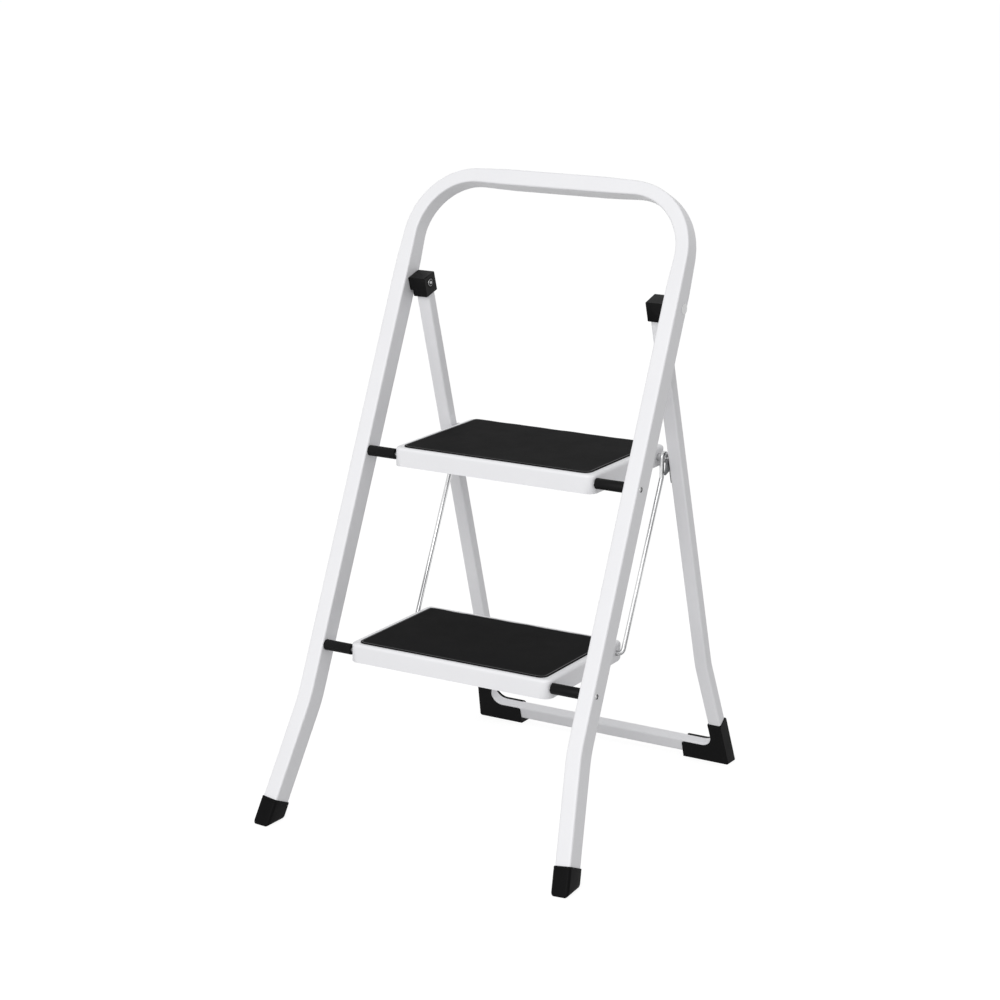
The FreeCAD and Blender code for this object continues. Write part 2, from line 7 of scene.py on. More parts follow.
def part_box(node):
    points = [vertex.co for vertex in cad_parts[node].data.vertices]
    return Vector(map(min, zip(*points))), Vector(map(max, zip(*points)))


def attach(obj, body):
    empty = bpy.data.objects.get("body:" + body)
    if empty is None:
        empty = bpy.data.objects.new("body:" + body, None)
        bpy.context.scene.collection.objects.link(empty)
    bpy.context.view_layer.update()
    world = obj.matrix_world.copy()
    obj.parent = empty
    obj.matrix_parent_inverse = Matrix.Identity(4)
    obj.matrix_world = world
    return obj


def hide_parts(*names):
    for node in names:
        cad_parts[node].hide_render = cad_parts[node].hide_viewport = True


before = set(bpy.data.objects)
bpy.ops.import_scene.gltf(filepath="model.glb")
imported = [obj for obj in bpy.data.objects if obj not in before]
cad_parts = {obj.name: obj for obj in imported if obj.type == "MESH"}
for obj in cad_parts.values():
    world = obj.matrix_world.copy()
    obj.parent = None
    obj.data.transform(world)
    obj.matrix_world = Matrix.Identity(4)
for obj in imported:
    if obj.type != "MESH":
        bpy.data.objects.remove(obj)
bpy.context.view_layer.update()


# Front frame.
# One steel tube of rounded rectangular section, bent cold from the left foot up, over as the handle
# and down to the right foot. It is powder coated white, which leaves a faint orange peel.
front_tube = {"Width": 0.0205, "Depth": 0.029, "Corner": 0.0026}
front_lean = math.radians(24.4)
front_floor_y = -0.239179
front_leg_x = 0.1935
front_end = 0.0121
front_knee = 0.1615
front_knee_bend = 0.22
front_splay = math.radians(7.2)
front_handle = 0.850062
handle_bend = 0.082
handle_thinning = 0.13


def add_socket(tree, name, direction, kind, value=None):
    """An input or output of a node tree, with its usual value."""
    socket = tree.interface.new_socket(name=name, in_out=direction, socket_type="NodeSocket" + kind)
    if value is not None:
        socket.default_value = value


def add_node(tree, kind, **settings):
    """A node with its settings; a key with a capital is an input's name."""
    node = tree.nodes.new(kind)
    for key, value in settings.items():
        if key[0].isupper():
            node.inputs[key.replace("_", " ")].default_value = value
        else:
            setattr(node, key, value)
    return node


def bent_tube_tree():
    """Sweeps a rounded section along a path whose corners are bent to their own radii.

    The tube can be drawn thinner near two lengths along its path, as cold bending does.
    """
    tree = bpy.data.node_groups.new("bent_tube", "GeometryNodeTree")
    add_socket(tree, "Path", "INPUT", "Geometry")
    add_socket(tree, "Width", "INPUT", "Float", 0.02)
    add_socket(tree, "Depth", "INPUT", "Float", 0.02)
    add_socket(tree, "Corner", "INPUT", "Float", 0.002)
    add_socket(tree, "Side Cuts", "INPUT", "Int", 7)
    add_socket(tree, "Bend Steps", "INPUT", "Int", 24)
    add_socket(tree, "Ring Distance", "INPUT", "Float", 0.004)
    add_socket(tree, "Thinned At", "INPUT", "Vector", (0, 0, 0))
    add_socket(tree, "Thinned By", "INPUT", "Float", 0.0)
    add_socket(tree, "Thinnest Within", "INPUT", "Float", 0.045)
    add_socket(tree, "Full Beyond", "INPUT", "Float", 0.115)
    add_socket(tree, "Depth Along Y", "INPUT", "Bool", True)
    add_socket(tree, "Lean", "INPUT", "Float", 0.0)
    add_socket(tree, "Floor Y", "INPUT", "Float", 0.0)
    add_socket(tree, "Finish", "INPUT", "Material")
    add_socket(tree, "Tube", "OUTPUT", "Geometry")
    link = tree.links.new
    given = tree.nodes.new("NodeGroupInput")
    result = tree.nodes.new("NodeGroupOutput")

    # The path: its corners are rounded, and it is cut into even steps.
    bends = add_node(tree, "GeometryNodeInputNamedAttribute", data_type="FLOAT", Name="bend_radius")
    line = add_node(tree, "GeometryNodeMeshToCurve")
    bent = add_node(tree, "GeometryNodeFilletCurve", mode="POLY", Limit_Radius=False)
    even = add_node(tree, "GeometryNodeResampleCurve", mode="LENGTH")
    turned = add_node(tree, "GeometryNodeSetCurveNormal", mode="FREE", Normal=(0, 1, 0))
    choice = add_node(tree, "GeometryNodeSwitch", input_type="GEOMETRY")
    run = add_node(tree, "GeometryNodeSplineParameter")
    path = add_node(tree, "GeometryNodeStoreNamedAttribute", data_type="FLOAT", domain="POINT",
                    Name="run")
    link(given.outputs["Path"], line.inputs["Mesh"])
    link(line.outputs["Curve"], bent.inputs["Curve"])
    link(given.outputs["Bend Steps"], bent.inputs["Count"])
    link(bends.outputs["Attribute"], bent.inputs["Radius"])
    link(bent.outputs["Curve"], even.inputs["Curve"])
    link(given.outputs["Ring Distance"], even.inputs["Length"])
    link(even.outputs["Curve"], turned.inputs["Curve"])
    link(given.outputs["Depth Along Y"], choice.inputs["Switch"])
    link(even.outputs["Curve"], choice.inputs["False"])
    link(turned.outputs["Curve"], choice.inputs["True"])
    link(choice.outputs["Output"], path.inputs["Geometry"])
    link(run.outputs["Length"], path.inputs["Value"])

    # The share of its size that the tube keeps at each point of the path.
    spots = add_node(tree, "ShaderNodeSeparateXYZ")
    link(given.outputs["Thinned At"], spots.inputs["Vector"])
    nearness = []
    for spot in ("X", "Y"):
        away = add_node(tree, "ShaderNodeMath", operation="SUBTRACT")
        distance = add_node(tree, "ShaderNodeMath", operation="ABSOLUTE")
        near = add_node(tree, "ShaderNodeMapRange", interpolation_type="SMOOTHSTEP", To_Min=1.0,
                        To_Max=0.0)
        link(run.outputs["Length"], away.inputs[0])
        link(spots.outputs[spot], away.inputs[1])
        link(away.outputs[0], distance.inputs[0])
        link(distance.outputs[0], near.inputs["Value"])
        link(given.outputs["Thinnest Within"], near.inputs["From Min"])
        link(given.outputs["Full Beyond"], near.inputs["From Max"])
        nearness.append(near.outputs["Result"])
    nearer = add_node(tree, "ShaderNodeMath", operation="MAXIMUM")
    loss = add_node(tree, "ShaderNodeMath", operation="MULTIPLY")
    kept = add_node(tree, "ShaderNodeMath", operation="SUBTRACT")
    kept.inputs[0].default_value = 1.0
    link(nearness[0], nearer.inputs[0])
    link(nearness[1], nearer.inputs[1])
    link(nearer.outputs[0], loss.inputs[0])
    link(given.outputs["Thinned By"], loss.inputs[1])
    link(loss.outputs[0], kept.inputs[1])

    # The section: a rectangle with cut sides and rounded corners.
    section = add_node(tree, "GeometryNodeCurvePrimitiveQuadrilateral", mode="RECTANGLE")
    cut = add_node(tree, "GeometryNodeSubdivideCurve")
    rounded = add_node(tree, "GeometryNodeFilletCurve", mode="POLY", Count=5, Limit_Radius=True)
    way_round = add_node(tree, "GeometryNodeSplineParameter")
    outline = add_node(tree, "GeometryNodeStoreNamedAttribute", data_type="FLOAT", domain="POINT",
                       Name="around")
    link(given.outputs["Depth"], section.inputs["Width"])
    link(given.outputs["Width"], section.inputs["Height"])
    link(section.outputs["Curve"], cut.inputs["Curve"])
    link(given.outputs["Side Cuts"], cut.inputs["Cuts"])
    link(cut.outputs["Curve"], rounded.inputs["Curve"])
    link(given.outputs["Corner"], rounded.inputs["Radius"])
    link(rounded.outputs["Curve"], outline.inputs["Geometry"])
    link(way_round.outputs["Factor"], outline.inputs["Value"])

    # The tube: swept, closed, leaned over and set on the floor.
    sweep = add_node(tree, "GeometryNodeCurveToMesh", Fill_Caps=True)
    merged = add_node(tree, "GeometryNodeMergeByDistance", Distance=0.00002)
    smooth = add_node(tree, "GeometryNodeSetShadeSmooth")
    tilt = add_node(tree, "ShaderNodeCombineXYZ")
    shift = add_node(tree, "ShaderNodeCombineXYZ")
    placed = add_node(tree, "GeometryNodeTransform")
    realized = add_node(tree, "GeometryNodeRealizeInstances")
    painted = add_node(tree, "GeometryNodeSetMaterial")
    link(path.outputs["Geometry"], sweep.inputs["Curve"])
    link(outline.outputs["Geometry"], sweep.inputs["Profile Curve"])
    link(kept.outputs[0], sweep.inputs["Scale"])
    link(sweep.outputs["Mesh"], merged.inputs["Geometry"])
    link(merged.outputs["Geometry"], smooth.inputs["Geometry"])
    link(given.outputs["Lean"], tilt.inputs["X"])
    link(given.outputs["Floor Y"], shift.inputs["Y"])
    link(smooth.outputs["Geometry"], placed.inputs["Geometry"])
    link(tilt.outputs["Vector"], placed.inputs["Rotation"])
    link(shift.outputs["Vector"], placed.inputs["Translation"])
    link(placed.outputs["Geometry"], realized.inputs["Geometry"])
    link(realized.outputs["Geometry"], painted.inputs["Geometry"])
    link(given.outputs["Finish"], painted.inputs["Material"])
    link(painted.outputs["Geometry"], result.inputs["Tube"])
    return tree


def show(name, mesh):
    """A mesh as an object in the scene."""
    piece = bpy.data.objects.new(name, mesh)
    bpy.context.scene.collection.objects.link(piece)
    return piece


def through_tree(name, mesh, tree, values):
    """Runs a mesh through a node tree and keeps the result as a plain mesh."""
    start = show(name + "_start", mesh)
    modifier = start.modifiers.new("tree", "NODES")
    modifier.node_group = tree
    for item in tree.interface.items_tree:
        if item.item_type == "SOCKET" and item.in_out == "INPUT" and item.name in values:
            modifier[item.identifier] = values[item.name]
    graph = bpy.context.evaluated_depsgraph_get()
    made = bpy.data.meshes.new_from_object(start.evaluated_get(graph), depsgraph=graph)
    start.modifiers.remove(modifier)
    bpy.data.objects.remove(start)
    made.name = name
    return made


def path_mesh(name, corners, radii):
    """A path's corners, with the radius that each one is bent to."""
    mesh = bpy.data.meshes.new(name)
    mesh.from_pydata(corners, [(i, i + 1) for i in range(len(corners) - 1)], [])
    bends = mesh.attributes.new("bend_radius", "FLOAT", "POINT")
    bends.data.foreach_set("value", radii)
    return mesh


def outward(mesh):
    """Turns every face of a closed mesh outwards."""
    work = bmesh.new()
    work.from_mesh(mesh)
    bmesh.ops.recalc_face_normals(work, faces=work.faces)
    work.to_mesh(mesh)
    work.free()


def surface_tree():
    """Fine grain for the bump and broad drift for colour and roughness, on Object coordinates."""
    tree = bpy.data.node_groups.new("surface", "ShaderNodeTree")
    add_socket(tree, "Grain Scale", "INPUT", "Float", 900.0)
    add_socket(tree, "Drift Scale", "INPUT", "Float", 12.0)
    add_socket(tree, "Grain", "OUTPUT", "Float")
    add_socket(tree, "Drift", "OUTPUT", "Float")
    link = tree.links.new
    given = tree.nodes.new("NodeGroupInput")
    result = tree.nodes.new("NodeGroupOutput")
    place = add_node(tree, "ShaderNodeTexCoord")
    grain = add_node(tree, "ShaderNodeTexNoise", Detail=2.0, Roughness=0.55)
    drift = add_node(tree, "ShaderNodeTexNoise", Detail=5.0, Roughness=0.62)
    spread = add_node(tree, "ShaderNodeMapRange", From_Min=0.3, From_Max=0.7)
    link(place.outputs["Object"], grain.inputs["Vector"])
    link(place.outputs["Object"], drift.inputs["Vector"])
    link(given.outputs["Grain Scale"], grain.inputs["Scale"])
    link(given.outputs["Drift Scale"], drift.inputs["Scale"])
    link(drift.outputs["Fac"], spread.inputs["Value"])
    link(grain.outputs["Fac"], result.inputs["Grain"])
    link(spread.outputs["Result"], result.inputs["Drift"])
    return tree


surface = surface_tree()


def colour_sockets(sockets):
    """The colour sockets of a Mix node, which has others of the same names."""
    return [socket for socket in sockets if socket.type == "RGBA"]


def finish(name, colours, roughness, grain_scale, grain_depth, drift_scale, metallic=0.0, specular=0.5):
    """A material whose colour and roughness drift between two values, with a grained surface."""
    material = bpy.data.materials.new(name)
    material.use_nodes = True
    tree = material.node_tree
    link = tree.links.new
    shader = tree.nodes["Principled BSDF"]
    shader.inputs["Metallic"].default_value = metallic
    shader.inputs["Specular IOR Level"].default_value = specular
    look = add_node(tree, "ShaderNodeGroup", node_tree=surface, Grain_Scale=grain_scale,
                    Drift_Scale=drift_scale)
    colour = add_node(tree, "ShaderNodeMix", data_type="RGBA")
    for socket, shade in zip(colour_sockets(colour.inputs), colours):
        socket.default_value = (*shade, 1)
    gloss = add_node(tree, "ShaderNodeMapRange", To_Min=roughness[0], To_Max=roughness[1])
    bump = add_node(tree, "ShaderNodeBump", Strength=1.0, Distance=grain_depth)
    link(look.outputs["Drift"], colour.inputs["Factor"])
    link(colour_sockets(colour.outputs)[0], shader.inputs["Base Color"])
    link(look.outputs["Drift"], gloss.inputs["Value"])
    link(gloss.outputs["Result"], shader.inputs["Roughness"])
    link(look.outputs["Grain"], bump.inputs["Height"])
    link(bump.outputs["Normal"], shader.inputs["Normal"])
    return material


white_paint = finish("white_powder_coat", colours=((0.850, 0.850, 0.872), (0.875, 0.875, 0.895)),
                     roughness=(0.32, 0.42), grain_scale=700, grain_depth=0.00004, drift_scale=9,
                     specular=0.4)
bent_tube = bent_tube_tree()
front_spread = (front_knee - front_end) * math.tan(front_splay)
front_corners = [(-front_leg_x - front_spread, 0, front_end), (-front_leg_x, 0, front_knee),
                 (-front_leg_x, 0, front_handle), (front_leg_x, 0, front_handle),
                 (front_leg_x, 0, front_knee), (front_leg_x + front_spread, 0, front_end)]
front_bends = [0, front_knee_bend, handle_bend, handle_bend, front_knee_bend, 0]
leg_run = (front_knee - front_end) / math.cos(front_splay) + front_handle - front_knee
bend_middle = leg_run - handle_bend + handle_bend * math.pi / 4
whole_run = 2 * (leg_run - handle_bend) + handle_bend * math.pi + 2 * (front_leg_x - handle_bend)
front_mesh = through_tree("front_tube", path_mesh("front_path", front_corners, front_bends), bent_tube,
                          {**front_tube, "Lean": -front_lean, "Floor Y": front_floor_y,
                           "Thinned At": (bend_middle, whole_run - bend_middle, 0),
                           "Thinned By": handle_thinning, "Finish": white_paint})
outward(front_mesh)
piece = show("front_tube", front_mesh)
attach(piece, "front_frame_body")
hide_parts("front_frame")


# Rear frame.
# The same kind of steel tube in a smaller section, bent to a narrow U and coated white. Its bottom
# run is the crossbar, and its two legs hang on the pivot rivets.
rear_tube = {"Width": 0.0185, "Depth": 0.0155, "Corner": 0.0026}
rear_lean = math.radians(16.206922)
rear_floor_y = 0.247121
rear_leg_x = 0.1685
rear_top = 0.67735
rear_knee = 0.152
rear_knee_bend = 0.07
rear_splay = math.radians(5.8)
crossbar_rise = 0.019
crossbar_bend = 0.025
crossbar_x = rear_leg_x + (rear_knee - crossbar_rise) * math.tan(rear_splay)
rear_corners = [(-rear_leg_x, 0, rear_top), (-rear_leg_x, 0, rear_knee), (-crossbar_x, 0, crossbar_rise),
                (crossbar_x, 0, crossbar_rise), (rear_leg_x, 0, rear_knee), (rear_leg_x, 0, rear_top)]
rear_bends = [0, rear_knee_bend, crossbar_bend, crossbar_bend, rear_knee_bend, 0]
rear_mesh = through_tree("rear_tube", path_mesh("rear_path", rear_corners, rear_bends), bent_tube,
                         {**rear_tube, "Side Cuts": 5, "Lean": rear_lean, "Floor Y": rear_floor_y,
                          "Finish": white_paint})
outward(rear_mesh)
piece = show("rear_tube", rear_mesh)
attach(piece, "rear_frame_body")
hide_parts("rear_frame")


# Front feet.
# Black moulded caps pushed on the front tube's ends. Each has a collar line under its rim, walls that
# follow the tube, rounded lower corners and a slightly domed sole.
sides = ((-1, "left"), (1, "right"))
foot_grip = 0.030
foot_wall = 0.0016
foot_least_corner = 0.001
foot_half_width = front_tube["Width"] / 2 + foot_wall
foot_half_depth = front_tube["Depth"] / 2 + foot_wall
sole_rise = {"outer": 0.0030, "inner": 0.0010, "heel": 0.0014}
sole_side_power = 2.5
sole_heel_power = 4
front_turn = Matrix.Rotation(-front_lean, 3, "X")
foot_black = finish("foot_black", colours=((0.0030, 0.0030, 0.0032), (0.0042, 0.0042, 0.0045)),
                    roughness=(0.46, 0.58), grain_scale=1500, grain_depth=0.00003, drift_scale=60,
                    specular=0.06)

# Where each ring is measured from, how far it lies down from the rim or up from the floor, and how far
# outside the tube it runs, first across the stool and then along it.
foot_rings = [("end", 0.0, 0.00003, 0.00003), ("rim", 0.0, 0.00003, 0.00003),
              ("rim", 0.0, 0.0010, 0.0010), ("rim", 0.0002, 0.0014, 0.0014),
              ("rim", 0.0007, foot_wall, foot_wall), ("rim", 0.0032, foot_wall, foot_wall),
              ("rim", 0.0034, 0.0014, 0.0014), ("rim", 0.0040, 0.0014, 0.0014),
              ("rim", 0.0042, foot_wall, foot_wall), ("floor", 0.0046, foot_wall, foot_wall),
              ("floor", 0.0030, 0.00155, foot_wall), ("floor", 0.0018, 0.0012, 0.0015),
              ("floor", 0.0009, 0.0005, 0.0012), ("floor", 0.0003, -0.0005, 0.0006),
              ("floor", 0.0, -0.0016, -0.0002), ("floor", -0.0001, -0.0042, -0.0030),
              ("floor", 0.0, -0.0064, -0.0060), ("floor", 0.0006, -0.0070, -0.0068)]


def rounded_rectangle(width, depth, corner, steps=6):
    """Points round a rectangle with rounded corners, at even steps round each corner."""
    points = []
    for quarter, (a, b) in enumerate(((1, 1), (-1, 1), (-1, -1), (1, -1))):
        centre = (a * (width / 2 - corner), b * (depth / 2 - corner))
        for step in range(steps + 1):
            angle = math.radians(90 * quarter + 90 * step / steps)
            points.append((centre[0] + corner * math.cos(angle), centre[1] + corner * math.sin(angle)))
    return points


def lofted(name, rings, material, closed=False):
    """A smooth skin over rings of points, capped at both ends, or joined last to first."""
    mesh = bpy.data.meshes.new(name)
    count = len(rings[0])
    spans = len(rings) if closed else len(rings) - 1
    faces = []
    for ring in range(spans):
        here = ring * count
        there = (ring + 1) % len(rings) * count
        for i in range(count):
            j = (i + 1) % count
            faces.append((here + i, here + j, there + j, there + i))
    if not closed:
        faces.append(tuple(reversed(range(count))))
        faces.append(tuple(range((len(rings) - 1) * count, len(rings) * count)))
    mesh.from_pydata([tuple(point) for ring in rings for point in ring], [], faces)
    mesh.materials.append(material)
    outward(mesh)
    mesh.polygons.foreach_set("use_smooth", [True] * len(mesh.polygons))
    mesh.set_sharp_from_angle(angle=math.radians(32))
    return mesh


for side, name in sides:
    axis = Vector((-side * math.sin(front_splay), 0, math.cos(front_splay)))
    along = front_turn @ axis
    across = front_turn @ Vector((math.cos(front_splay), 0, side * math.sin(front_splay)))
    through = front_turn @ Vector((0, 1, 0))
    end = front_turn @ Vector((side * (front_leg_x + front_spread), 0, front_end))
    end += Vector((0, front_floor_y, 0))
    rim = (foot_grip - front_end) / axis.z
    rings = []
    for start, height, wide, deep in foot_rings:
        ring = []
        for u, v in rounded_rectangle(front_tube["Width"] + 2 * wide, front_tube["Depth"] + 2 * deep,
                                      max(front_tube["Corner"] + min(wide, deep), foot_least_corner)):
            point = end + across * u + through * v
            if start == "rim":
                point = point + along * (rim - height)
            elif start == "floor":
                edge = sole_rise["outer"] if side * u > 0 else sole_rise["inner"]
                dome = edge * abs(u / foot_half_width) ** sole_side_power
                dome += sole_rise["heel"] * max(v / foot_half_depth, 0) ** sole_heel_power
                point = point + along * ((height + dome - point.z) / along.z)
            ring.append(point)
        rings.append(ring)
    piece = show("front_foot_cap_" + name, lofted("front_foot_cap_" + name, rings, foot_black))
    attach(piece, "front_frame_body")
    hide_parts("front_foot_" + name)


# Step rods.
# Zinc plated steel rods that run from leg to leg under each tread and carry its front. Their hollow
# ends are riveted over on the legs' outer sides, with painted shade in the bores.
upper_rod = Vector((0, -0.04559, 0.4425))
lower_rod = Vector((0, -0.149469, 0.2135))
front_outer_x = front_leg_x + front_tube["Width"] / 2
bright_zinc = finish("zinc_plate", colours=((0.48, 0.485, 0.49), (0.62, 0.62, 0.625)),
                     roughness=(0.24, 0.36), grain_scale=420, grain_depth=0.000002, drift_scale=60,
                     metallic=1.0)
# A dark tint painted into the rods' bores and the rivets' grooves as shade.
painted_bore_shade = (0.012, 0.012, 0.012)

# Out from the leg's face, radius, and the share of painted bore shade, from the bore to the rim.
rod_end = [(-0.0050, 0.0018, 1), (-0.0046, 0.0021, 1), (0.0002, 0.0023, 1), (0.0006, 0.0026, 1),
           (0.0008, 0.0030, 1), (0.0007, 0.0034, 0), (0.0004, 0.0037, 0), (0.00005, 0.0038, 0),
           (0.00003, 0.0035, 0)]


def tint_tree():
    """Turns a colour towards a tint by a share from 0 to 1."""
    tree = bpy.data.node_groups.new("tint_by_share", "ShaderNodeTree")
    add_socket(tree, "Colour", "INPUT", "Color", (0.5, 0.5, 0.5, 1))
    add_socket(tree, "Tint", "INPUT", "Color", (0.1, 0.1, 0.1, 1))
    add_socket(tree, "Share", "INPUT", "Float", 0.0)
    add_socket(tree, "Tinted", "OUTPUT", "Color")
    link = tree.links.new
    given = tree.nodes.new("NodeGroupInput")
    result = tree.nodes.new("NodeGroupOutput")
    blend = add_node(tree, "ShaderNodeMix", data_type="RGBA")
    colour, tint = colour_sockets(blend.inputs)
    link(given.outputs["Colour"], colour)
    link(given.outputs["Tint"], tint)
    link(given.outputs["Share"], blend.inputs["Factor"])
    link(colour_sockets(blend.outputs)[0], result.inputs["Tinted"])
    return tree


tint_by_share = tint_tree()


def tinted(material, tint, share):
    """Tints a material's colour by a share that one of its nodes puts out."""
    tree = material.node_tree
    shader = tree.nodes["Principled BSDF"]
    blend = add_node(tree, "ShaderNodeGroup", node_tree=tint_by_share, Tint=(*tint, 1))
    tree.links.new(shader.inputs["Base Color"].links[0].from_socket, blend.inputs["Colour"])
    tree.links.new(share, blend.inputs["Share"])
    tree.links.new(blend.outputs["Tinted"], shader.inputs["Base Color"])


def stored(material, attribute):
    """The value that a mesh stores for a material to read."""
    return add_node(material.node_tree, "ShaderNodeAttribute", attribute_name=attribute).outputs["Fac"]


def mark(mesh, attribute, shares):
    """Stores an attribute on a lofted mesh, one value for each ring."""
    count = len(mesh.vertices) // len(shares)
    values = mesh.attributes.new(attribute, "FLOAT", "POINT")
    values.data.foreach_set("value", [share for share in shares for point in range(count)])


def copies_tree():
    """Sets a turned piece on each place, facing left where the place says so."""
    tree = bpy.data.node_groups.new("set_on_places", "GeometryNodeTree")
    add_socket(tree, "Places", "INPUT", "Geometry")
    add_socket(tree, "Piece", "INPUT", "Object")
    add_socket(tree, "Finish", "INPUT", "Material")
    add_socket(tree, "Set", "OUTPUT", "Geometry")
    link = tree.links.new
    given = tree.nodes.new("NodeGroupInput")
    facing = add_node(tree, "GeometryNodeInputNamedAttribute", data_type="FLOAT", Name="half_turns")
    angle = add_node(tree, "ShaderNodeMath", operation="MULTIPLY")
    angle.inputs[1].default_value = math.pi
    euler = add_node(tree, "ShaderNodeCombineXYZ")
    turn = add_node(tree, "FunctionNodeEulerToRotation")
    piece = add_node(tree, "GeometryNodeObjectInfo", transform_space="ORIGINAL", As_Instance=True)
    spots = add_node(tree, "GeometryNodeInstanceOnPoints")
    realized = add_node(tree, "GeometryNodeRealizeInstances")
    painted = add_node(tree, "GeometryNodeSetMaterial")
    result = tree.nodes.new("NodeGroupOutput")
    link(facing.outputs["Attribute"], angle.inputs[0])
    link(angle.outputs[0], euler.inputs["Z"])
    link(euler.outputs["Vector"], turn.inputs["Euler"])
    link(given.outputs["Piece"], piece.inputs["Object"])
    link(given.outputs["Places"], spots.inputs["Points"])
    link(piece.outputs["Geometry"], spots.inputs["Instance"])
    link(turn.outputs["Rotation"], spots.inputs["Rotation"])
    link(spots.outputs["Instances"], realized.inputs["Geometry"])
    link(realized.outputs["Geometry"], painted.inputs["Geometry"])
    link(given.outputs["Finish"], painted.inputs["Material"])
    link(painted.outputs["Geometry"], result.inputs["Set"])
    return tree


set_on_places = copies_tree()


def turned(name, profile, material, steps=36, closed=False):
    """A shape turned about the X axis from (x, radius) pairs."""
    angles = [2 * math.pi * step / steps for step in range(steps)]
    rings = []
    for x, radius in profile:
        rings.append([(x, radius * math.cos(angle), radius * math.sin(angle)) for angle in angles])
    return lofted(name, rings, material, closed)


def both_sides(*points):
    """Each point as a place on the left and a place on the right."""
    return [(point, side) for point in points for side in (-1, 1)]


def set_copies(name, shape, places, material, body, nodes):
    """Copies of a turned piece at places; each place is a point and its side, 1 or -1."""
    mesh = bpy.data.meshes.new(name + "_places")
    mesh.from_pydata([tuple(place) for place, side in places], [], [])
    facing = mesh.attributes.new("half_turns", "FLOAT", "POINT")
    facing.data.foreach_set("value", [0.0 if side > 0 else 1.0 for place, side in places])
    pattern = show(name + "_pattern", shape)
    made = through_tree(name, mesh, set_on_places, {"Piece": pattern, "Finish": material})
    bpy.data.objects.remove(pattern)
    piece = show(name, made)
    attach(piece, body)
    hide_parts(*nodes)


# Painted shade: the zinc is tinted dark where a piece stores a share of it, in the rods' bores and the
# rivets' grooves.
tinted(bright_zinc, painted_bore_shade, stored(bright_zinc, "painted_shade"))
rod_profile = [(front_outer_x + out, radius) for out, radius, shade in rod_end]
rod_profile += [(-x, radius) for x, radius in reversed(rod_profile)]
rod_painted_shades = [shade for out, radius, shade in rod_end]
rod_shape = turned("step_rod_shape", rod_profile, bright_zinc)
mark(rod_shape, "painted_shade", rod_painted_shades + rod_painted_shades[::-1])
set_copies("step_rods", rod_shape, [(upper_rod, 1), (lower_rod, 1)], bright_zinc, "front_frame_body",
           ["upper_step_rod", "lower_step_rod"])


# Spacer sleeves.
# Black moulded sleeves that slip over the rods and fill the gap between each leg and the pan's side.
# Their edges are rounded.
pan_side_x = 0.1435
front_inner_x = front_leg_x - front_tube["Width"] / 2
sleeve_start = pan_side_x + 0.0001
sleeve_radius = 0.0068
sleeve_bore = 0.0036
moulded_black = finish("moulded_black", colours=((0.0045, 0.0045, 0.0047), (0.0065, 0.0065, 0.0068)),
                       roughness=(0.40, 0.52), grain_scale=1500, grain_depth=0.00003, drift_scale=60,
                       specular=0.09)
sleeve_profile = [(sleeve_start, sleeve_bore), (sleeve_start, 0.0060), (sleeve_start + 0.0001, 0.0064),
                  (sleeve_start + 0.0004, 0.0067), (sleeve_start + 0.0009, sleeve_radius),
                  (front_inner_x - 0.0006, sleeve_radius), (front_inner_x - 0.0001, 0.0065),
                  (front_inner_x, 0.0061), (front_inner_x, sleeve_bore)]
set_copies("step_sleeves", turned("sleeve_shape", sleeve_profile, moulded_black, closed=True),
           both_sides(upper_rod, lower_rod), moulded_black, "front_frame_body",
           ["upper_sleeve_left", "upper_sleeve_right", "lower_sleeve_left", "lower_sleeve_right"])


# Pivot rivets.
# Solid steel rivets through the front legs. The domed head lies on the leg's outer side, and the end
# within the block is rolled over with a dimple and a groove round it. The groove is darkened with
# painted shade.
pivot = Vector((0, 0.060083, 0.6435))

# Along X, radius, and the share of painted shade, from the dimple out and over the groove.
rolled_end = [(0.15705, 0.0003, 0), (0.15708, 0.0011, 0), (0.15735, 0.0018, 0.2), (0.15800, 0.0023, 1),
              (0.15870, 0.0025, 1), (0.15870, 0.0036, 1), (0.15800, 0.0038, 1), (0.15770, 0.0042, 0.6),
              (0.15785, 0.0047, 0.3), (0.15850, 0.0050, 0.6), (0.15885, 0.0050, 1), (0.15885, 0.0040, 1)]

# Out from the leg's face, and radius.
domed_head = [(0.00005, 0.0040), (0.00005, 0.0070), (0.00025, 0.0070), (0.0007, 0.0063),
              (0.00115, 0.0052), (0.00155, 0.0039), (0.00183, 0.0026), (0.00197, 0.0012),
              (0.0020, 0.0003)]
rivet_profile = [(x, radius) for x, radius, shade in rolled_end]
rivet_profile += [(front_outer_x + out, radius) for out, radius in domed_head]
rivet_shape = turned("pivot_rivet_shape", rivet_profile, bright_zinc)
mark(rivet_shape, "painted_shade", [shade for x, radius, shade in rolled_end] + [0] * len(domed_head))
set_copies("pivot_rivets", rivet_shape, both_sides(pivot), bright_zinc, "front_frame_body",
           ["pivot_rivet_left", "pivot_rivet_right"])


# Pivot blocks.
# Black moulded caps on top of the rear legs, with a tab against the front leg. Their edges are
# slightly rounded, as they leave the mould.
moulded_edge = 0.0004


